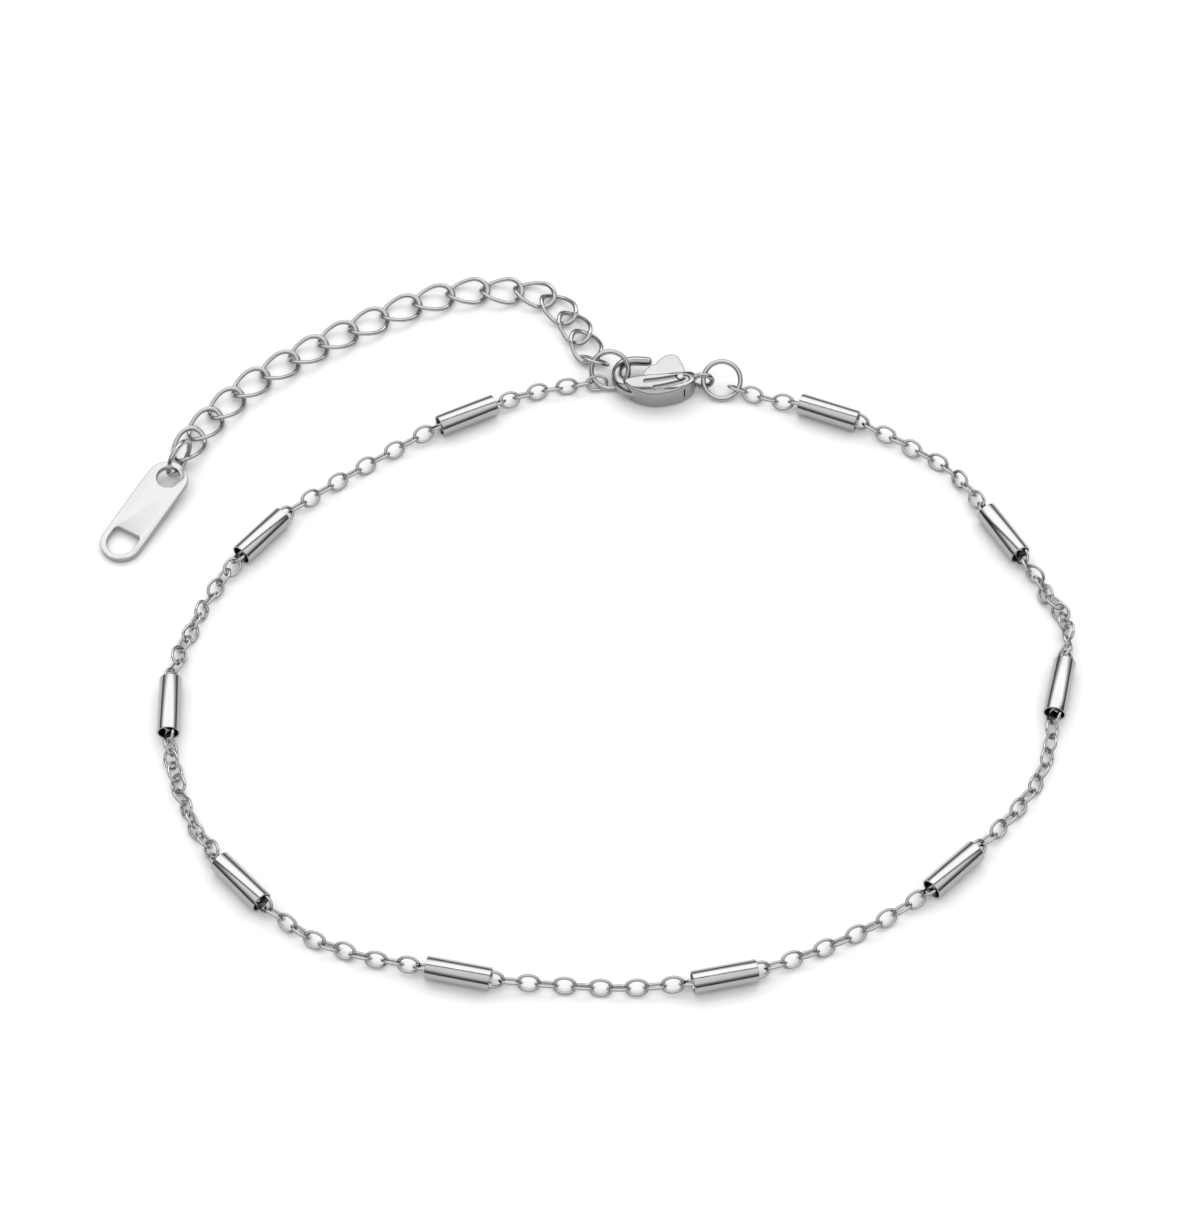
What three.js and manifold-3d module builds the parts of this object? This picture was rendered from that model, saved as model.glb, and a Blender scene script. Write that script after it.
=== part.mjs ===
// Chain anklet: ten hollow tube beads threaded on a fine cable chain, closed by a lobster
// clasp on a soldered ring, with a curb extender chain that ends in a flat tag.
// Millimetres, +Z up. The anklet lies fastened on the plane z = 0, the extender at its
// far left, and the finished group is moved so that the origin is the bottom centre of its box.

import * as THREE from "three";
import { mergeVertices } from "three/addons/utils/BufferGeometryUtils.js";
import Module from "manifold-3d";

const wasm = await Module();
wasm.setup();

// ---------------------------------------------------------------- driving dimensions

const BEAD = { length: 5.2, radius: 0.93, bore: 0.79, sides: 16 };
const CHAIN = { radius: 0.6, sides: 8, steps: 7, restZ: 0.62, beadZ: 0.93, meetGap: 0.15 };
const LINK = { halfLength: 1.82, halfWidth: 1.22, wire: 0.2, twist: 34, sides: 6, steps: 16 };
const RING = { radius: 1.6, wire: 0.225, sides: 6, steps: 20 };
const JOINING_RING = { radius: 1.25, wire: 0.165, sides: 6, steps: 20 };
const TAG = { length: 10.6, width: 3.6, thickness: 0.5, lift: 4.5, eyeRadius: 1.0, eyeInset: 1.55 };
const TAG_WINDOW = { radius: 1.25, inset: 1.75, straight: 1.15 };

// The clasp lies on one cheek. Its own plane coordinates start at the tail eye's centre,
// with the nose along -x and the mouth towards +y.
const CLASP = { x: 8.85, y: 22.85, halfThick: 1.15, slotHalf: 0.6, edge: 0.25 };
const LEVER = { halfThick: 0.47, edge: 0.12 };
const PIVOT = { x: -1.95, y: -0.35, pin: 0.3, leverHole: 0.36, cheekHole: 0.34, sides: 16 };
const HOOK_RADIUS = 0.42;
const EYE = { radius: 0.81, wire: 0.22, halfWidth: 0.28 };

// One row for each tube bead: where its middle lies, and the way that the chain runs through it.
const BEADS = [
  { x: -11.4, y: 19.3, heading: 206 },
  { x: -28.4, y: 6.7, heading: 230 },
  { x: -35.2, y: -10.3, heading: 271 },
  { x: -28.6, y: -26.9, heading: 313 },
  { x: -11.1, y: -35.2, heading: 348 },
  { x: 9.8, y: -35.5, heading: 12 },
  { x: 28.2, y: -25.8, heading: 44 },
  { x: 37.7, y: -8.5, heading: 77 },
  { x: 33.9, y: 7.0, heading: 120.5 },
  { x: 19.6, y: 19.6, heading: 158.7 },
];

// One row for each run of fine chain, in order round the ankle: how far it bows outwards
// at one third and at two thirds of its way from bead to bead.
const RUN_BOWS = [
  { first: 0.4, second: 0.5 },
  { first: 0.4, second: 0.45 },
  { first: 0.65, second: 0.65 },
  { first: 0.75, second: 0.8 },
  { first: 1.15, second: 0.95 },
  { first: 0.25, second: 0.4 },
  { first: 0.5, second: 0.55 },
  { first: 1.15, second: 1.4 },
  { first: 1.45, second: 0.85 },
  { first: 1.4, second: 1.05 },
  { first: -0.1, second: -0.1 },
];

// One row for each extender link, from the joining ring to the tag: where its middle lies.
const EXTENDER = [
  { x: -1.2, y: 27.0 },
  { x: -2.2, y: 29.1 },
  { x: -3.6, y: 31.2 },
  { x: -5.7, y: 32.8 },
  { x: -8.6, y: 33.1 },
  { x: -11.6, y: 33.0 },
  { x: -14.6, y: 32.2 },
  { x: -17.4, y: 31.0 },
  { x: -20.2, y: 29.5 },
  { x: -22.8, y: 28.0 },
  { x: -25.3, y: 26.4 },
  { x: -27.7, y: 24.7 },
  { x: -30.1, y: 22.8 },
  { x: -32.1, y: 20.6 },
  { x: -33.8, y: 18.4 },
  { x: -35.1, y: 16.3 },
];
const LINK_Z = 0.62;

const EXTENDER_RING = { name: "extender_ring", x: 0.85, y: 23.85, lean: 44 };
const TAIL_RING = { name: "tail_ring", x: 10.5, y: 22.85, lean: 38 };
const JOINING = { x: -0.47, y: 24.93, z: 1.27, normal: [0.28, 0.69, 0.66] };
const TAG_RING = { x: -35.72, y: 14.13, heading: 240, lean: 88 };
const TAG_END = { x: -35.8, y: 14.0, heading: 240 };

// ---------------------------------------------------------------- materials

const metal = (color, roughness) => new THREE.MeshStandardMaterial({ color, roughness, metalness: 1 });
const TUBE_STEEL = metal(0xd4d5d6, 0.14);
const CHAIN_STEEL = metal(0xc6c7c9, 0.18);
const CLASP_STEEL = metal(0xcdced0, 0.16);
const TAG_STEEL = metal(0xdcdddd, 0.22);

// ---------------------------------------------------------------- helpers

const anklet = new THREE.Group();

function add(name, geometry, material, parent = anklet) {
  const mesh = new THREE.Mesh(geometry, material.clone());
  mesh.name = name;
  parent.add(mesh);
  return mesh;
}

const radians = THREE.MathUtils.degToRad;
const numbered = (name, index) => `${name}_${String(index + 1).padStart(2, "0")}`;
const at = (point, z) => new THREE.Vector3(point.x, point.y, z);

// The point a given distance ahead of a place that has a heading.
function ahead({ x, y, heading }, distance) {
  const angle = radians(heading);
  return { x: x + distance * Math.cos(angle), y: y + distance * Math.sin(angle) };
}

function circle(radius) {
  return new THREE.Shape().absarc(0, 0, radius, 0, 2 * Math.PI, false);
}

function tube(points, radius, sides, steps) {
  return new THREE.ExtrudeGeometry(circle(radius), {
    steps,
    curveSegments: sides / 2,
    extrudePath: new THREE.CatmullRomCurve3(points, false, "centripetal"),
    bevelEnabled: false,
  });
}

// A plate of an outline in the plane z = 0, with the same thickness above and below it.
function plate(shape, halfThick, edge, curveSegments = 6) {
  const geometry = new THREE.ExtrudeGeometry(shape, {
    depth: 2 * (halfThick - edge),
    curveSegments,
    bevelEnabled: edge > 0,
    bevelThickness: edge,
    bevelSize: edge,
    bevelOffset: -edge,
    bevelSegments: 2,
  });
  return geometry.translate(0, 0, edge - halfThick);
}

function solid(geometry) {
  const bare = geometry.index ? geometry.toNonIndexed() : geometry.clone();
  bare.deleteAttribute("normal");
  bare.deleteAttribute("uv");
  const merged = mergeVertices(bare, 1e-4);
  return new wasm.Manifold(
    new wasm.Mesh({
      numProp: 3,
      vertProperties: merged.attributes.position.array,
      triVerts: new Uint32Array(merged.index.array),
    }),
  );
}

function geometryOf(manifold) {
  const { vertProperties, triVerts } = manifold.getMesh();
  const geometry = new THREE.BufferGeometry();
  geometry.setAttribute("position", new THREE.BufferAttribute(new Float32Array(vertProperties), 3));
  geometry.setIndex(new THREE.BufferAttribute(new Uint32Array(triVerts), 1));
  return geometry;
}

function polygon(points) {
  return new THREE.Shape(points.map(([x, y]) => new THREE.Vector2(x, y)));
}

// A smooth closed outline through a few points, as a polygon of many short sides.
function outline(points, sides) {
  const route = new THREE.CatmullRomCurve3(points.map(([x, y]) => new THREE.Vector3(x, y, 0)), true);
  return polygon(route.getPoints(sides).slice(0, -1).map(({ x, y }) => [x, y]));
}

// ---------------------------------------------------------------- tube beads

function beadGeometry() {
  const { length, radius, bore, sides } = BEAD;
  const profile = [
    [bore, -length / 2],
    [radius, -length / 2],
    [radius, length / 2],
    [bore, length / 2],
    [bore, -length / 2],
  ].map(([r, y]) => new THREE.Vector2(r, y));
  return new THREE.LatheGeometry(profile, sides).rotateZ(Math.PI / 2);
}

BEADS.forEach((bead, index) => {
  const mesh = add(numbered("tube_bead", index), beadGeometry(), TUBE_STEEL);
  mesh.position.set(bead.x, bead.y, BEAD.radius);
  mesh.rotation.z = radians(bead.heading);
});

// ---------------------------------------------------------------- fine chain

// The chain is threaded through every bead. Each run goes from the middle of one bead to the
// middle of the next, and sinks from the beads' axis to lie on the surface between them.
const ringSide = ({ x, y }, sideways, back) => ({ x: x + sideways, y: y + back });
const chainStart = ringSide(EXTENDER_RING, -2.05, -0.72);
const chainFinish = ringSide(TAIL_RING, 2.25, -0.55);

function chainRun(from, to, bow) {
  const start = from ? ahead(from, CHAIN.meetGap) : chainStart;
  const leave = from ? ahead(from, BEAD.length / 2) : chainStart;
  const enter = to ? ahead(to, -BEAD.length / 2) : chainFinish;
  const finish = to ? ahead(to, -CHAIN.meetGap) : chainFinish;
  const span = { x: enter.x - leave.x, y: enter.y - leave.y };
  const gap = Math.hypot(span.x, span.y);
  const outward = { x: span.y / gap, y: -span.x / gap };
  const between = (part, offset) => ({
    x: leave.x + span.x * part + outward.x * offset,
    y: leave.y + span.y * part + outward.y * offset,
  });
  const points = [];
  if (from) points.push(at(start, CHAIN.beadZ), at(leave, CHAIN.beadZ));
  else points.push(at(start, CHAIN.restZ));
  points.push(at(between(1 / 3, bow.first), CHAIN.restZ), at(between(2 / 3, bow.second), CHAIN.restZ));
  if (to) points.push(at(enter, CHAIN.beadZ), at(finish, CHAIN.beadZ));
  else points.push(at(finish, CHAIN.restZ));
  return tube(points, CHAIN.radius, CHAIN.sides, CHAIN.steps);
}

RUN_BOWS.forEach((bow, index) => {
  add(numbered("chain_run", index), chainRun(BEADS[index - 1], BEADS[index], bow), CHAIN_STEEL);
});

// ---------------------------------------------------------------- rings

function ringGeometry({ radius, wire, sides, steps }) {
  return new THREE.TorusGeometry(radius, wire, sides, steps);
}

// Both large rings lean with their far side up, the near side on the surface.
const restingZ = (lean) => RING.radius * Math.sin(radians(lean)) + RING.wire;
for (const { name, x, y, lean } of [EXTENDER_RING, TAIL_RING]) {
  const ring = add(name, ringGeometry(RING), CHAIN_STEEL);
  ring.position.set(x, y, restingZ(lean));
  ring.rotation.x = radians(lean);
}

const joining = add("joining_ring", ringGeometry(JOINING_RING), CHAIN_STEEL);
joining.position.set(JOINING.x, JOINING.y, JOINING.z);
joining.quaternion.setFromUnitVectors(
  new THREE.Vector3(0, 0, 1),
  new THREE.Vector3(...JOINING.normal).normalize(),
);

// ---------------------------------------------------------------- extender chain

// A curb link: an oval wire loop twisted about its length, so that equal links lie flat
// together. It is a torus whose ring follows the oval.
function linkGeometry() {
  const { halfLength, halfWidth, wire, twist, sides, steps } = LINK;
  const geometry = new THREE.TorusGeometry(1, wire, sides, steps);
  const position = geometry.attributes.position;
  for (let i = 0; i < position.count; i += 1) {
    const around = Math.atan2(position.getY(i), position.getX(i));
    const outward = Math.hypot(position.getX(i), position.getY(i)) - 1;
    const lean = new THREE.Vector2(Math.cos(around) / halfLength, Math.sin(around) / halfWidth);
    lean.normalize().multiplyScalar(outward);
    const x = halfLength * Math.cos(around) + lean.x;
    const y = halfWidth * Math.sin(around) + lean.y;
    const z = position.getZ(i);
    const turn = radians(twist) * Math.cos(around);
    position.setXYZ(i, x, y * Math.cos(turn) - z * Math.sin(turn), y * Math.sin(turn) + z * Math.cos(turn));
  }
  return geometry;
}

EXTENDER.forEach((link, index) => {
  const before = EXTENDER[index - 1] ?? JOINING;
  const after = EXTENDER[index + 1] ?? TAG_RING;
  const mesh = add(numbered("extender_link", index), linkGeometry(), CHAIN_STEEL);
  mesh.position.set(link.x, link.y, LINK_Z);
  mesh.rotation.z = Math.atan2(after.y - before.y, after.x - before.x);
});

const tagRing = add("tag_ring", ringGeometry(RING), CHAIN_STEEL);
tagRing.position.set(TAG_RING.x, TAG_RING.y, restingZ(TAG_RING.lean));
tagRing.rotation.order = "ZYX";
tagRing.rotation.z = radians(TAG_RING.heading);
tagRing.rotation.x = radians(TAG_RING.lean);

// ---------------------------------------------------------------- end tag

// A flat plate with round ends. Its eye takes the tag ring, and its far end has a D-shaped
// window whose flat side faces the middle. The eye end is lifted by the ring's wire below it.
function tagShape() {
  const { length, width, eyeRadius, eyeInset } = TAG;
  const round = width / 2;
  const shape = new THREE.Shape();
  shape.moveTo(round, -round);
  shape.lineTo(length - round, -round);
  shape.absarc(length - round, 0, round, -Math.PI / 2, Math.PI / 2, false);
  shape.lineTo(round, round);
  shape.absarc(round, 0, round, Math.PI / 2, Math.PI * 1.5, false);
  const eye = new THREE.Path().absarc(eyeInset, 0, eyeRadius, 0, 2 * Math.PI, true);
  const { radius, inset, straight } = TAG_WINDOW;
  const centre = length - inset;
  const window = new THREE.Path();
  window.moveTo(centre - straight, -radius);
  window.lineTo(centre - straight, radius);
  window.lineTo(centre, radius);
  window.absarc(centre, 0, radius, Math.PI / 2, -Math.PI / 2, true);
  window.lineTo(centre - straight, -radius);
  shape.holes.push(eye, window);
  return shape;
}

const tagGeometry = new THREE.ExtrudeGeometry(tagShape(), {
  depth: TAG.thickness,
  curveSegments: 8,
  bevelEnabled: false,
}).translate(-TAG.length, 0, 0);
const tagPlace = new THREE.Group();
const tagFar = ahead(TAG_END, TAG.length);
tagPlace.position.set(tagFar.x, tagFar.y, 0);
tagPlace.rotation.order = "ZYX";
tagPlace.rotation.z = radians(TAG_END.heading);
tagPlace.rotation.y = radians(TAG.lift);
anklet.add(tagPlace);
add("end_tag", tagGeometry, TAG_STEEL, tagPlace);

// ---------------------------------------------------------------- lobster clasp

const claspPlace = new THREE.Group();
claspPlace.position.set(CLASP.x, CLASP.y, CLASP.halfThick);
anklet.add(claspPlace);

// The spine and the two cheeks, from the tail round the belly to the root of the hook.
function claspBoss() {
  const boss = solid(
    plate(
      outline([
        [-0.75, -0.65],
        [-2.1, -1.7],
        [-4.25, -2.15],
        [-5.95, -1.6],
        [-6.8, -0.5],
        [-5.4, -0.15],
        [-3.6, -0.05],
        [-1.9, 0.3],
        [-0.8, 0.5],
      ], 28),
      CLASP.halfThick,
      CLASP.edge,
    ),
  );
  const slot = plate(
    polygon([
      [-5.5, -0.45],
      [-4.95, -1.4],
      [-3.25, -1.4],
      [-1.85, -1.15],
      [-1.15, -0.75],
      [-1.15, 3.2],
      [-5.5, 3.2],
    ]),
    CLASP.slotHalf,
    0,
  );
  return boss.subtract(solid(slot));
}

// The round wire of the hook, from the spine round the nose to its tip.
function claspHook() {
  const route = [
    [-5.65, -1.3],
    [-6.65, -0.75],
    [-7.35, 0.25],
    [-7.1, 1.4],
    [-6.3, 2.02],
    [-5.35, 2.12],
    [-4.35, 2.06],
  ].map(([x, y]) => new THREE.Vector3(x, y, 0));
  return solid(tube(route, HOOK_RADIUS, 8, 16));
}

// The eye stands across the clasp, so that its hole runs along y.
function claspEye() {
  const { radius, wire, halfWidth } = EYE;
  const shape = circle(radius + wire);
  shape.holes.push(new THREE.Path().absarc(0, 0, radius - wire, 0, 2 * Math.PI, true));
  return solid(plate(shape, halfWidth, 0.1, 7).rotateX(Math.PI / 2));
}

// The short neck that joins the tail of the boss to the eye.
function claspNeck() {
  return solid(new THREE.BoxGeometry(0.55, 0.55, 1.1).translate(-0.85, 0, 0));
}

function pinHole(radius) {
  const hole = new THREE.CylinderGeometry(radius, radius, 4, PIVOT.sides);
  return solid(hole.rotateX(Math.PI / 2).translate(PIVOT.x, PIVOT.y, 0));
}

const claspBody = claspBoss()
  .add(claspHook())
  .add(claspNeck())
  .add(claspEye())
  .subtract(pinHole(PIVOT.cheekHole));
add("clasp_body", geometryOf(claspBody), CLASP_STEEL, claspPlace);

// The sprung lever that closes the mouth: a beak inside the hook's tip, a thumb knob on the
// outside, and a round heel on the pin.
const leverBlank = plate(
  outline([
    [-5.1, 0.5],
    [-4.5, 1.3],
    [-4.05, 1.48],
    [-3.7, 1.95],
    [-3.1, 2.42],
    [-2.3, 2.42],
    [-1.8, 1.6],
    [-1.5, 0.45],
    [-1.45, -0.35],
    [-1.95, -0.85],
    [-3.45, -0.65],
    [-4.85, -0.25],
  ], 32),
  LEVER.halfThick,
  LEVER.edge,
);
const lever = solid(leverBlank).subtract(pinHole(PIVOT.leverHole));
add("clasp_lever", geometryOf(lever), CLASP_STEEL, claspPlace);

const pin = new THREE.CylinderGeometry(PIVOT.pin, PIVOT.pin, 2 * CLASP.halfThick - 0.04, PIVOT.sides);
add("clasp_pin", pin.rotateX(Math.PI / 2).translate(PIVOT.x, PIVOT.y, 0), CLASP_STEEL, claspPlace);

// ---------------------------------------------------------------- origin

const box = new THREE.Box3().setFromObject(anklet, true);
const centre = box.getCenter(new THREE.Vector3());
anklet.position.set(-centre.x, -centre.y, -box.min.z);

export default anklet;
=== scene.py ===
import math

import bmesh
import bpy
from mathutils import Euler, Matrix, Vector


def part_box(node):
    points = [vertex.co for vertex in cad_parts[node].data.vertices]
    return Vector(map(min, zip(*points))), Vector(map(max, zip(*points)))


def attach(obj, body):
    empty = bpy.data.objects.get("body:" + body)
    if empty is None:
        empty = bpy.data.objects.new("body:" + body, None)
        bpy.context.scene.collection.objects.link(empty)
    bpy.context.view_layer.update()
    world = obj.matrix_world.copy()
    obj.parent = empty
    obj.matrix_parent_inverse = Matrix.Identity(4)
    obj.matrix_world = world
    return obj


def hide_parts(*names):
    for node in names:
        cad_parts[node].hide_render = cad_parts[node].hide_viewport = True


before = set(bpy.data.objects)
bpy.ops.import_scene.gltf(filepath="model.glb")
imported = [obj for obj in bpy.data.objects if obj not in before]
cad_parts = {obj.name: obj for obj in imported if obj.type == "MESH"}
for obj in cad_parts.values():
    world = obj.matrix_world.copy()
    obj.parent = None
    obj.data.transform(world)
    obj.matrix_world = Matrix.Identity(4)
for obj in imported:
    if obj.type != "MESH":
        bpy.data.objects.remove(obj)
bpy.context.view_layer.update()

# ------------------------------------------------------------------ sizes, in millimetres
# Every piece is modelled in millimetres round its own middle, and placed in metres.

MM = 0.001

BEAD_LENGTH, BEAD_RADIUS, BEAD_WALL = 5.2, 0.93, 0.13
CHAIN_WIRE, CHAIN_BEND, CHAIN_DRAW, CHAIN_STRETCH = 0.13, 0.62, 1.28, 0.05
CHAIN_PITCH, CHAIN_ROLL, CHAIN_REST_Z = 1.42, 45, 0.6
LINKS_IN_A_RUN = 11
CURB_WIRE, CURB_BEND, CURB_DRAW, CURB_STRETCH, CURB_TWIST, CURB_Z = 0.19, 1.22, 1.3, 0.2, 68, 0.62
RING_RADIUS, RING_WIRE = 1.6, 0.225
JOINING_RADIUS, JOINING_WIRE = 1.25, 0.165
TAG_LENGTH, TAG_WIDTH, TAG_THICK, TAG_LIFT = 10.6, 3.6, 0.5, 4.5
TAG_EYE_RADIUS, TAG_EYE_INSET = 1.0, 1.55
WINDOW_RADIUS, WINDOW_INSET, WINDOW_STRAIGHT = 1.25, 1.75, 1.15
CLASP_HALF = 1.15
CHEEK_DOME = (4.6, 2.1, 1.2)
GROOVE_Z = 1.05

# Tube beads: middle and heading, in the plan that the anklet lies in.
BEADS = [
    (-11.4, 19.3, 206), (-28.4, 6.7, 230), (-35.2, -10.3, 271), (-28.6, -26.9, 313),
    (-11.1, -35.2, 348), (9.8, -35.5, 12), (28.2, -25.8, 44), (37.7, -8.5, 77),
    (33.9, 7.0, 120.5), (19.6, 19.6, 158.7),
]

# How far each run of fine chain bows outwards at one third and two thirds of its way.
RUN_BOWS = [
    (0.4, 0.5), (0.4, 0.45), (0.65, 0.65), (0.75, 0.8), (1.15, 0.95), (0.25, 0.4),
    (0.5, 0.55), (1.15, 1.4), (1.45, 0.85), (1.4, 1.05), (-0.1, -0.1),
]

# Middles of the extender links, from the joining ring to the tag.
EXTENDER = [
    (-1.2, 27.0), (-2.2, 29.1), (-3.6, 31.2), (-5.7, 32.8), (-8.6, 33.1), (-11.6, 33.0),
    (-14.6, 32.2), (-17.4, 31.0), (-20.2, 29.5), (-22.8, 28.0), (-25.3, 26.4), (-27.7, 24.7),
    (-30.1, 22.8), (-32.1, 20.6), (-33.8, 18.4), (-35.1, 16.3),
]

EXTENDER_RING = (0.85, 23.85, 44)
TAIL_RING = (10.5, 22.85, 38)
JOINING_PLACE, JOINING_NORMAL = (-0.47, 24.93, 1.27), (0.28, 0.69, 0.66)
TAG_RING = (-35.72, 14.13, 240, 88)
TAG_END = (-35.8, 14.0, 240)
CLASP_EYE = (8.85, 22.85)
PIVOT = (-1.95, -0.35)

# The plan's own zero lies a little off the frame's origin: the first bead tells by how much.
low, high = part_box("tube_bead_01")
SHIFT = (Vector(low) + Vector(high)) / 2 - Vector((BEADS[0][0], BEADS[0][1], BEAD_RADIUS)) * MM


def placed(x, y, z, heading=0.0, tilt=None):
    """The matrix that takes a piece modelled in millimetres to its place."""
    turn = Matrix.Rotation(math.radians(heading), 4, "Z")
    if tilt is not None:
        turn = turn @ tilt
    return Matrix.Translation(SHIFT + Vector((x, y, z)) * MM) @ turn @ Matrix.Scale(MM, 4)


def rolled(angle):
    return Matrix.Rotation(math.radians(angle), 4, "X")


# ------------------------------------------------------------------ modelling helpers

def activate(piece):
    bpy.ops.object.select_all(action="DESELECT")
    piece.select_set(True)
    bpy.context.view_layer.objects.active = piece


def newest(name):
    piece = bpy.context.active_object
    piece.name = name
    return piece


def edit(piece, mode="VERT"):
    activate(piece)
    bpy.ops.object.mode_set(mode="EDIT")
    bpy.ops.mesh.select_mode(type=mode)
    bpy.ops.mesh.select_all(action="DESELECT")
    return bmesh.from_edit_mesh(piece.data)


def choose(piece, mesh, kind, test):
    for part in getattr(mesh, kind):
        if test(part):
            part.select_set(True)
    bmesh.update_edit_mesh(piece.data)


def leave():
    bpy.ops.object.mode_set(mode="OBJECT")


def tidy_normals(piece):
    edit(piece)
    bpy.ops.mesh.select_all(action="SELECT")
    bpy.ops.mesh.remove_doubles(threshold=0.001)
    bpy.ops.mesh.normals_make_consistent(inside=False)
    leave()


def smooth(piece, angle=40):
    activate(piece)
    bpy.ops.object.shade_smooth_by_angle(angle=math.radians(angle))


def modify(piece, kind, **settings):
    activate(piece)
    modifier = piece.modifiers.new(kind.lower(), kind)
    for key, value in settings.items():
        setattr(modifier, key, value)
    bpy.ops.object.modifier_apply(modifier=modifier.name)


def cut(piece, tool, operation="DIFFERENCE"):
    modify(piece, "BOOLEAN", object=tool, operation=operation, solver="EXACT")
    bpy.data.objects.remove(tool)


def apply_turn(piece):
    activate(piece)
    bpy.ops.object.transform_apply(location=True, rotation=True, scale=True)


def plate(name, outline, low_z, high_z, edge=0.0, segments=4):
    """A flat piece with that outline, its rim rounded by edge."""
    bpy.ops.mesh.primitive_circle_add(vertices=len(outline), radius=1, fill_type="NGON")
    piece = newest(name)
    for vertex, (x, y) in zip(piece.data.vertices, outline):
        vertex.co = (x, y, low_z)
    mesh = edit(piece, "FACE")
    choose(piece, mesh, "faces", lambda face: True)
    bpy.ops.mesh.extrude_region_move(TRANSFORM_OT_translate={"value": (0, 0, high_z - low_z)})
    leave()
    tidy_normals(piece)
    if edge:
        modify(piece, "BEVEL", width=edge, segments=segments, limit_method="ANGLE",
               angle_limit=math.radians(60), use_clamp_overlap=True)
    return piece


def smooth_outline(points, steps=6):
    """A closed curve through a few points, cut into short sides."""
    count = len(points)
    result = []
    for i in range(count):
        before, here, there, beyond = (Vector(points[(i + k) % count]) for k in (-1, 0, 1, 2))
        for step in range(steps):
            result.append(tuple(between(before, here, there, beyond, step / steps)))
    return result


def between(before, here, there, beyond, part):
    """A point on the smooth curve from here to there."""
    return 0.5 * (
        2 * here
        + (there - before) * part
        + (2 * before - 5 * here + 4 * there - beyond) * part ** 2
        + (3 * here - before - 3 * there + beyond) * part ** 3
    )


def wire(name, points, radii, sides=8):
    """A round rod through a few points, with its own radius at each."""
    curve = bpy.data.curves.new(name, "CURVE")
    curve.dimensions = "3D"
    curve.bevel_depth = 1.0
    curve.bevel_resolution = sides
    curve.use_fill_caps = True
    curve.resolution_u = 10
    spline = curve.splines.new("NURBS")
    spline.points.add(len(points) - 1)
    spline.use_endpoint_u = True
    spline.order_u = 4
    for point, place, radius in zip(spline.points, points, radii):
        point.co = (*place, 1)
        point.radius = radius
    piece = bpy.data.objects.new(name, curve)
    bpy.context.collection.objects.link(piece)
    activate(piece)
    bpy.ops.object.convert(target="MESH")
    piece = newest(name)
    tidy_normals(piece)
    return piece


def copy_placed(pattern, name, matrix):
    piece = bpy.data.objects.new(name, pattern.data.copy())
    bpy.context.collection.objects.link(piece)
    piece.data.transform(matrix)
    return piece


def join(pieces, name):
    bpy.ops.object.select_all(action="DESELECT")
    for piece in pieces:
        piece.select_set(True)
    bpy.context.view_layer.objects.active = pieces[0]
    bpy.ops.object.join()
    return newest(name)


def hand_in(piece, material, node, body="anklet"):
    low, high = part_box(node)
    bpy.context.view_layer.update()
    for size, least, most in zip(piece.dimensions, low, high):
        if size < 0.7 * (most - least):
            raise ValueError(f"{piece.name} is smaller than {node}")
    piece.data.materials.clear()
    piece.data.materials.append(material)
    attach(piece, body)
    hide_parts(node)


# ------------------------------------------------------------------ materials

def polish_marks():
    """Fine haze and hairline marks that polishing leaves: a roughness and a height."""
    group = bpy.data.node_groups.new("polish_marks", "ShaderNodeTree")
    group.interface.new_socket("Roughness", in_out="INPUT", socket_type="NodeSocketFloat")
    group.interface.new_socket("Haze", in_out="INPUT", socket_type="NodeSocketFloat")
    group.interface.new_socket("Scale", in_out="INPUT", socket_type="NodeSocketFloat")
    group.interface.new_socket("Roughness", in_out="OUTPUT", socket_type="NodeSocketFloat")
    group.interface.new_socket("Height", in_out="OUTPUT", socket_type="NodeSocketFloat")
    nodes, links = group.nodes, group.links
    given = nodes.new("NodeGroupInput")
    out = nodes.new("NodeGroupOutput")
    place = nodes.new("ShaderNodeTexCoord")
    cloud = nodes.new("ShaderNodeTexNoise")
    cloud.inputs["Detail"].default_value = 3
    links.new(place.outputs["Object"], cloud.inputs["Vector"])
    links.new(given.outputs["Scale"], cloud.inputs["Scale"])
    haze = nodes.new("ShaderNodeMath")
    haze.operation = "MULTIPLY"
    links.new(cloud.outputs["Fac"], haze.inputs[0])
    links.new(given.outputs["Haze"], haze.inputs[1])
    total = nodes.new("ShaderNodeMath")
    total.operation = "ADD"
    links.new(haze.outputs[0], total.inputs[0])
    links.new(given.outputs["Roughness"], total.inputs[1])
    links.new(total.outputs[0], out.inputs["Roughness"])
    stretch = nodes.new("ShaderNodeMapping")
    stretch.inputs["Scale"].default_value = (900, 9000, 5000)
    stretch.inputs["Rotation"].default_value = (0.3, 0.2, 0.5)
    hairs = nodes.new("ShaderNodeTexNoise")
    hairs.inputs["Scale"].default_value = 1.0
    hairs.inputs["Detail"].default_value = 2
    links.new(place.outputs["Object"], stretch.inputs["Vector"])
    links.new(stretch.outputs["Vector"], hairs.inputs["Vector"])
    links.new(hairs.outputs["Fac"], out.inputs["Height"])
    return group


MARKS = polish_marks()


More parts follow.
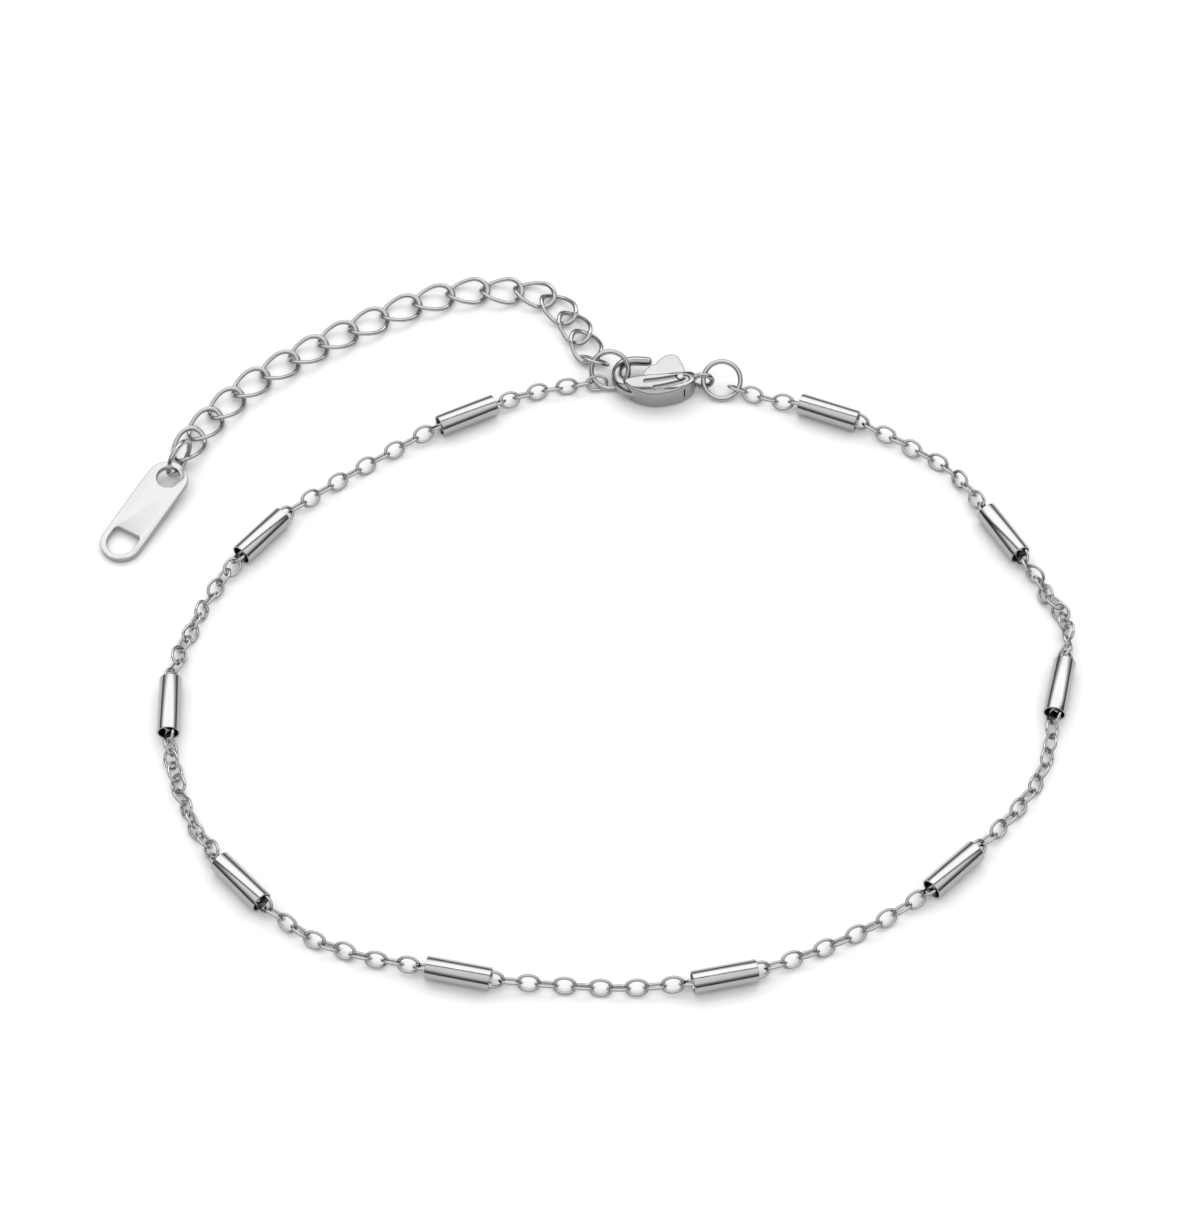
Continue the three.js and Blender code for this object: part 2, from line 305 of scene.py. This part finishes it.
def polished_steel(name, bright, dull, roughness, haze, scale, marks):
    material = bpy.data.materials.new(name)
    material.use_nodes = True
    nodes, links = material.node_tree.nodes, material.node_tree.links
    shader = nodes["Principled BSDF"]
    shader.inputs["Metallic"].default_value = 1.0
    group = nodes.new("ShaderNodeGroup")
    group.node_tree = MARKS
    group.inputs["Roughness"].default_value = roughness
    group.inputs["Haze"].default_value = haze
    group.inputs["Scale"].default_value = scale
    links.new(group.outputs["Roughness"], shader.inputs["Roughness"])
    place = nodes.new("ShaderNodeTexCoord")
    cloud = nodes.new("ShaderNodeTexNoise")
    cloud.inputs["Scale"].default_value = scale * 0.4
    links.new(place.outputs["Object"], cloud.inputs["Vector"])
    tone = nodes.new("ShaderNodeMix")
    tone.data_type = "RGBA"
    tone.inputs["A"].default_value = (*dull, 1)
    tone.inputs["B"].default_value = (*bright, 1)
    links.new(cloud.outputs["Fac"], tone.inputs["Factor"])
    links.new(tone.outputs["Result"], shader.inputs["Base Color"])
    bump = nodes.new("ShaderNodeBump")
    bump.inputs["Strength"].default_value = marks
    bump.inputs["Distance"].default_value = 0.00002
    links.new(group.outputs["Height"], bump.inputs["Height"])
    links.new(bump.outputs["Normal"], shader.inputs["Normal"])
    return material


TUBE_STEEL = polished_steel("tube_steel", (0.44, 0.44, 0.44), (0.38, 0.38, 0.38), 0.10, 0.08, 900, 0.10)
CHAIN_STEEL = polished_steel("chain_steel", (0.46, 0.46, 0.46), (0.38, 0.38, 0.38), 0.10, 0.08, 1400, 0.06)
CLASP_STEEL = polished_steel("clasp_steel", (0.38, 0.38, 0.38), (0.31, 0.31, 0.31), 0.10, 0.10, 700, 0.12)
TAG_STEEL = polished_steel("tag_steel", (0.41, 0.41, 0.41), (0.38, 0.38, 0.38), 0.20, 0.10, 260, 0.10)


# ------------------------------------------------------------------ tube beads

def tube_bead():
    bpy.ops.mesh.primitive_cylinder_add(
        vertices=48, radius=BEAD_RADIUS, depth=BEAD_LENGTH, rotation=(0, math.pi / 2, 0))
    piece = newest("bead_pattern")
    apply_turn(piece)
    mesh = edit(piece, "FACE")
    choose(piece, mesh, "faces", lambda face: abs(face.normal.x) > 0.9)
    bpy.ops.mesh.inset(thickness=BEAD_WALL, use_individual=True)
    bpy.ops.mesh.bridge_edge_loops()
    leave()
    tidy_normals(piece)
    modify(piece, "BEVEL", width=0.045, segments=3, limit_method="ANGLE", angle_limit=math.radians(50))
    smooth(piece, 45)
    return piece


bead = tube_bead()
for number, (x, y, heading) in enumerate(BEADS, 1):
    piece = copy_placed(bead, f"polished_tube_{number:02d}", placed(x, y, BEAD_RADIUS, heading))
    hand_in(piece, TUBE_STEEL, f"tube_bead_{number:02d}")
bpy.data.objects.remove(bead)


# ------------------------------------------------------------------ wire links and rings

def oval_link(name, bend, thick, draw, stretch, around, sides):
    """A wire ring drawn out lengthwise, with its two halves then parted a little."""
    bpy.ops.mesh.primitive_torus_add(
        major_radius=bend, minor_radius=thick, major_segments=around, minor_segments=sides)
    piece = newest(name)
    edit(piece)
    bpy.ops.mesh.select_all(action="SELECT")
    bpy.ops.transform.resize(value=(draw, 1, 1))
    leave()
    for side in (-1, 1):
        mesh = edit(piece)
        choose(piece, mesh, "verts", lambda vertex: side * vertex.co.x > 0.01)
        bpy.ops.transform.translate(value=(side * stretch, 0, 0))
        leave()
    return piece


fine_link = oval_link("fine_link_pattern", CHAIN_BEND, CHAIN_WIRE, CHAIN_DRAW, CHAIN_STRETCH, 20, 7)
smooth(fine_link, 80)


def run_route(index):
    """The way that one run of fine chain takes, as close-set points in millimetres."""
    def ahead(bead_row, distance):
        x, y, heading = bead_row
        angle = math.radians(heading)
        return Vector((x + distance * math.cos(angle), y + distance * math.sin(angle), BEAD_RADIUS))

    first = BEADS[index - 1] if index > 0 else None
    last = BEADS[index] if index < len(BEADS) else None
    start = ahead(first, BEAD_LENGTH / 2) if first else Vector((EXTENDER_RING[0] - 1.0, EXTENDER_RING[1] - 0.8, 0.62))
    finish = ahead(last, -BEAD_LENGTH / 2) if last else Vector((TAIL_RING[0] + 1.25, TAIL_RING[1] - 0.55, 0.75))
    span = finish - start
    outward = Vector((span.y, -span.x, 0)).normalized()
    middle = []
    for part, bow in zip((1 / 3, 2 / 3), RUN_BOWS[index]):
        point = start + span * part + outward * bow
        point.z = CHAIN_REST_Z
        middle.append(point)
    knots = [start, *middle, finish]
    if first:
        knots = [ahead(first, 0), *knots]
    if last:
        knots = [*knots, ahead(last, 0)]
    knots = [2 * knots[0] - knots[1], *knots, 2 * knots[-1] - knots[-2]]
    points = []
    for k in range(1, len(knots) - 2):
        for step in range(40):
            points.append(between(*knots[k - 1:k + 3], step / 40))
    points.append(knots[-2])
    return points, bool(first), bool(last)


def along(points, distance):
    """The place and the direction at a distance along a route."""
    walked = 0.0
    for here, there in zip(points, points[1:]):
        step = (there - here).length
        if walked + step >= distance:
            return here.lerp(there, (distance - walked) / step), (there - here).normalized()
        walked += step
    return points[-1], (points[-1] - points[-2]).normalized()


def route_length(points):
    return sum((there - here).length for here, there in zip(points, points[1:]))


def link_matrix(place, direction, roll, yaw=0.0):
    heading = math.degrees(math.atan2(direction.y, direction.x)) + yaw
    slope = -math.asin(max(-1, min(1, direction.z)))
    tilt = Matrix.Rotation(slope, 4, "Y") @ rolled(roll)
    return placed(place.x, place.y, place.z, heading, tilt)


# Between two beads the chain always has the same number of links. Where the beads lie closer
# together the links crowd and turn a little out of line.
for index in range(len(RUN_BOWS)):
    points, from_bead, to_bead = run_route(index)
    inside = BEAD_LENGTH / 2
    total = route_length(points)
    head = inside if from_bead else 0.0
    tail = inside if to_bead else 0.0
    open_length = total - head - tail
    if from_bead and to_bead:
        count = LINKS_IN_A_RUN
    else:
        count = round(open_length / CHAIN_PITCH)
    pitch = open_length / (count + 0.2)
    slack = max(0.0, 1 - pitch / CHAIN_PITCH)
    distances = [head + pitch * (k + 0.1) for k in range(count + 1)]
    if from_bead:
        distances = [distances[0] - CHAIN_PITCH * 0.94, *distances]
    if to_bead:
        distances.append(distances[-1] + CHAIN_PITCH * 0.94)
    links = []
    for k, distance in enumerate(distances):
        place, direction = along(points, distance)
        sway = math.sin(2.3 * k + 1.7 * index)
        roll = CHAIN_ROLL * (1 if k % 2 else -1) + 60 * slack * sway
        yaw = 70 * slack * math.sin(1.9 * k + index)
        side = Vector((-direction.y, direction.x, 0)) * (0.5 * slack * math.cos(2.1 * k + index))
        name = f"link_{index}_{k}"
        links.append(copy_placed(fine_link, name, link_matrix(place + side, direction, roll, yaw)))
    chain = join(links, f"fine_chain_{index + 1:02d}")
    hand_in(chain, CHAIN_STEEL, f"chain_run_{index + 1:02d}")
bpy.data.objects.remove(fine_link)

curb_link = oval_link("curb_link_pattern", CURB_BEND, CURB_WIRE, CURB_DRAW, CURB_STRETCH, 40, 12)
modify(curb_link, "SIMPLE_DEFORM", deform_method="TWIST", deform_axis="X", angle=math.radians(CURB_TWIST))
smooth(curb_link, 80)

for index, (x, y) in enumerate(EXTENDER):
    before = EXTENDER[index - 1] if index else JOINING_PLACE
    after = EXTENDER[index + 1] if index + 1 < len(EXTENDER) else TAG_RING
    heading = math.degrees(math.atan2(after[1] - before[1], after[0] - before[0]))
    piece = copy_placed(curb_link, f"curb_link_{index + 1:02d}", placed(x, y, CURB_Z, heading))
    hand_in(piece, CHAIN_STEEL, f"extender_link_{index + 1:02d}")
bpy.data.objects.remove(curb_link)


def ring(name, radius, thick, matrix, node):
    bpy.ops.mesh.primitive_torus_add(
        major_radius=radius, minor_radius=thick, major_segments=64, minor_segments=16)
    piece = newest(name)
    piece.data.transform(matrix)
    smooth(piece, 80)
    hand_in(piece, CHAIN_STEEL, node)


def resting_z(lean):
    return RING_RADIUS * math.sin(math.radians(lean)) + RING_WIRE


for name, (x, y, lean) in (("extender_ring", EXTENDER_RING), ("tail_ring", TAIL_RING)):
    ring(f"round_{name}", RING_RADIUS, RING_WIRE, placed(x, y, resting_z(lean), 0, rolled(lean)), name)
joining_turn = Vector((0, 0, 1)).rotation_difference(Vector(JOINING_NORMAL).normalized()).to_matrix().to_4x4()
ring("round_joining_ring", JOINING_RADIUS, JOINING_WIRE, placed(*JOINING_PLACE, 0, joining_turn), "joining_ring")
x, y, heading, lean = TAG_RING
ring("round_tag_ring", RING_RADIUS, RING_WIRE, placed(x, y, resting_z(lean), heading, rolled(lean)), "tag_ring")


# ------------------------------------------------------------------ end tag

def arc(centre, radius, start, stop, steps=20):
    angles = [math.radians(start + (stop - start) * i / steps) for i in range(steps + 1)]
    return [(centre + radius * math.cos(a), radius * math.sin(a)) for a in angles]


def end_tag():
    round_end = TAG_WIDTH / 2
    outline = arc(-round_end, round_end, 90, -90)
    outline += arc(-TAG_LENGTH + round_end, round_end, -90, -270)
    piece = plate("flat_tag", outline, 0, TAG_THICK)
    eye = -TAG_EYE_INSET
    window = -TAG_LENGTH + WINDOW_INSET
    bpy.ops.mesh.primitive_cylinder_add(vertices=48, radius=TAG_EYE_RADIUS, depth=4, location=(eye, 0, 0))
    cut(piece, newest("eye_tool"))
    corner = 0.3
    flat = window + WINDOW_STRAIGHT
    shape = arc(window, WINDOW_RADIUS, 270, 90)
    shape += [(flat - corner, WINDOW_RADIUS), (flat - corner * 0.3, WINDOW_RADIUS - corner * 0.3),
              (flat, WINDOW_RADIUS - corner), (flat, corner - WINDOW_RADIUS),
              (flat - corner * 0.3, corner * 0.3 - WINDOW_RADIUS), (flat - corner, -WINDOW_RADIUS)]
    cut(piece, plate("window_tool", shape[::-1], -2, 2))
    tidy_normals(piece)
    modify(piece, "BEVEL", width=0.07, segments=3, limit_method="ANGLE", angle_limit=math.radians(60))
    smooth(piece, 35)
    return piece


tag = end_tag()
x, y, heading = TAG_END
angle = math.radians(heading)
far_x = x + TAG_LENGTH * math.cos(angle)
far_y = y + TAG_LENGTH * math.sin(angle)
lift = Matrix.Rotation(math.radians(TAG_LIFT), 4, "Y") @ Matrix.Rotation(math.pi, 4, "Z")
tag.data.transform(placed(far_x, far_y, 0, heading, lift) @ Matrix.Translation((TAG_LENGTH, 0, 0)))
hand_in(tag, TAG_STEEL, "end_tag")


# ------------------------------------------------------------------ lobster clasp

CLASP_PLACE = placed(*CLASP_EYE, CLASP_HALF)


def clasp_body():
    boss = plate("lobster_clasp", smooth_outline([
        (-0.75, -0.65), (-2.1, -1.7), (-4.25, -2.15), (-5.95, -1.6), (-6.8, -0.5),
        (-5.4, -0.15), (-3.6, -0.05), (-1.9, 0.3), (-0.8, 0.5)]), -CLASP_HALF, CLASP_HALF)
    bpy.ops.mesh.primitive_uv_sphere_add(
        segments=96, ring_count=48, radius=1, location=(-3.7, -0.7, 0), scale=CHEEK_DOME)
    dome = newest("dome_tool")
    apply_turn(dome)
    cut(boss, dome, "INTERSECT")
    modify(boss, "REMESH", mode="VOXEL", voxel_size=0.05)
    modify(boss, "SMOOTH", factor=0.5, iterations=20)
    hook = wire("hook", [
        (-4.6, -1.2, 0), (-5.7, -1.2, 0), (-6.7, -0.8, 0), (-7.55, 0.25, 0), (-7.25, 1.75, 0),
        (-6.3, 2.15, 0), (-5.35, 2.12, 0), (-4.7, 2.08, 0), (-4.42, 2.06, 0), (-4.36, 2.06, 0)],
        [0.4, 0.62, 0.8, 0.47, 0.43, 0.42, 0.42, 0.42, 0.36, 0.15])
    cut(boss, hook, "UNION")
    slot = plate("slot_tool", [
        (-5.5, -0.45), (-4.95, -1.4), (-1.25, -1.4), (-1.85, -1.15), (-1.15, -0.75),
        (-1.15, 1.2), (-5.5, 1.2)], -0.6, 0.6)
    cut(boss, slot)
    bpy.ops.mesh.primitive_torus_add(
        major_radius=0.81, minor_radius=0.235, major_segments=40, minor_segments=16,
        rotation=(math.pi / 2, 0, 0))
    eye = newest("eye")
    apply_turn(eye)
    cut(boss, eye, "UNION")
    bpy.ops.mesh.primitive_cube_add(size=1, location=(-0.85, 0, 0), scale=(0.5, 0.55, 1.1))
    neck = newest("neck")
    apply_turn(neck)
    modify(neck, "BEVEL", width=0.15, segments=3)
    cut(boss, neck, "UNION")
    groove = wire("groove_tool", [
        (-5.1, -0.85, GROOVE_Z), (-4.2, -0.8, GROOVE_Z), (-2.6, -0.45, GROOVE_Z),
        (-1.3, -0.15, GROOVE_Z - 0.1), (-1.2, -0.6, GROOVE_Z - 0.1), (-2.4, -1.1, GROOVE_Z),
        (-3.6, -1.45, GROOVE_Z), (-4.3, -1.55, GROOVE_Z)], [0.2] * 8)
    modify(groove, "REMESH", mode="VOXEL", voxel_size=0.045)
    bpy.ops.mesh.primitive_cylinder_add(vertices=32, radius=0.34, depth=4, location=(*PIVOT, 0))
    cut(boss, newest("pin_tool"))
    modify(boss, "REMESH", mode="VOXEL", voxel_size=0.045)
    modify(boss, "SMOOTH", factor=0.5, iterations=14)
    cut(boss, groove)
    modify(boss, "REMESH", mode="VOXEL", voxel_size=0.045)
    modify(boss, "SMOOTH", factor=0.5, iterations=3)
    smooth(boss, 80)
    return boss


def clasp_lever():
    lever = plate("clasp_thumb_lever", smooth_outline([
        (-5.1, 0.5), (-4.5, 1.3), (-4.05, 1.48), (-3.7, 1.95), (-3.1, 2.42), (-2.3, 2.42),
        (-1.8, 1.6), (-1.5, 0.45), (-1.45, -0.35), (-1.95, -0.85), (-3.45, -0.65),
        (-4.85, -0.25)]), -0.52, 0.52)
    modify(lever, "REMESH", mode="VOXEL", voxel_size=0.045)
    modify(lever, "SMOOTH", factor=0.5, iterations=20)
    bpy.ops.mesh.primitive_cylinder_add(vertices=32, radius=0.36, depth=4, location=(*PIVOT, 0))
    cut(lever, newest("pin_tool"))
    smooth(lever, 35)
    return lever


def clasp_pin():
    bpy.ops.mesh.primitive_cylinder_add(
        vertices=32, radius=0.3, depth=2 * CLASP_HALF - 0.04, location=(*PIVOT, 0))
    pin = newest("clasp_rivet")
    apply_turn(pin)
    modify(pin, "BEVEL", width=0.06, segments=3, limit_method="ANGLE", angle_limit=math.radians(60))
    smooth(pin, 40)
    return pin


for made, node, body in (
    (clasp_body(), "clasp_body", "anklet"),
    (clasp_lever(), "clasp_lever", "lever"),
    (clasp_pin(), "clasp_pin", "anklet"),
):
    made.data.transform(CLASP_PLACE)
    hand_in(made, CLASP_STEEL, node, body)


# ------------------------------------------------------------------ stage, light and camera

bpy.ops.mesh.primitive_plane_add(size=3, location=(0, 0, -0.00002))
floor = newest("studio_floor")
paper = bpy.data.materials.new("white_paper")
paper.use_nodes = True
paper.node_tree.nodes["Principled BSDF"].inputs["Base Color"].default_value = (0.93, 0.93, 0.93, 1)
paper.node_tree.nodes["Principled BSDF"].inputs["Roughness"].default_value = 0.9
paper.node_tree.nodes["Principled BSDF"].inputs["Specular IOR Level"].default_value = 0.1
floor.data.materials.append(paper)


def tone_ramp(nodes, stops):
    """A grey ramp through the given positions and levels."""
    ramp = nodes.new("ShaderNodeValToRGB")
    ramp.color_ramp.interpolation = "EASE"
    ramp.color_ramp.elements[0].position = stops[0][0]
    ramp.color_ramp.elements[1].position = stops[-1][0]
    for position, _ in stops[1:-1]:
        ramp.color_ramp.elements.new(position)
    for element, (_, level) in zip(ramp.color_ramp.elements, stops):
        element.color = (level, level, level, 1)
    return ramp


def studio_sky():
    """A white tent over a dark rim, brighter behind, with a narrow dark gap overhead."""
    world = bpy.data.worlds.new("studio_tent")
    bpy.context.scene.world = world
    world.use_nodes = True
    nodes, links = world.node_tree.nodes, world.node_tree.links
    place = nodes.new("ShaderNodeTexCoord")
    split = nodes.new("ShaderNodeSeparateXYZ")
    links.new(place.outputs["Generated"], split.inputs[0])
    height = tone_ramp(nodes, [(0.0, 0.04), (0.24, 0.06), (0.46, 0.38), (0.70, 1.0)])
    links.new(split.outputs["Z"], height.inputs[0])
    shift = nodes.new("ShaderNodeMapRange")
    shift.inputs["From Min"].default_value = -1
    links.new(split.outputs["Y"], shift.inputs["Value"])
    depth = tone_ramp(nodes, [(0.0, 0.5), (0.50, 0.62), (0.525, 0.05), (0.575, 0.05), (0.61, 1.0)])
    links.new(shift.outputs["Result"], depth.inputs[0])
    both = nodes.new("ShaderNodeMix")
    both.data_type = "RGBA"
    both.blend_type = "MULTIPLY"
    both.inputs["Factor"].default_value = 1
    links.new(height.outputs[0], both.inputs["A"])
    links.new(depth.outputs[0], both.inputs["B"])
    background = nodes["Background"]
    links.new(both.outputs["Result"], background.inputs["Color"])
    background.inputs["Strength"].default_value = 2.35


studio_sky()

ELEVATION, DISTANCE, LENS = 56, 350, 126
camera_data = bpy.data.cameras.new("camera")
camera = bpy.data.objects.new("camera", camera_data)
bpy.context.collection.objects.link(camera)
camera_data.sensor_fit = "HORIZONTAL"
camera_data.sensor_width = 36
camera_data.lens = LENS
camera_data.clip_start = 0.01
camera_data.clip_end = 10
rise = math.radians(ELEVATION)
camera.location = SHIFT + Vector((0, -math.cos(rise), math.sin(rise))) * DISTANCE * MM
camera.rotation_euler = Euler((math.pi / 2 - rise, 0, 0))
bpy.context.scene.camera = camera
bpy.context.scene.view_settings.view_transform = "Standard"
bpy.context.scene.view_settings.exposure = 0.0
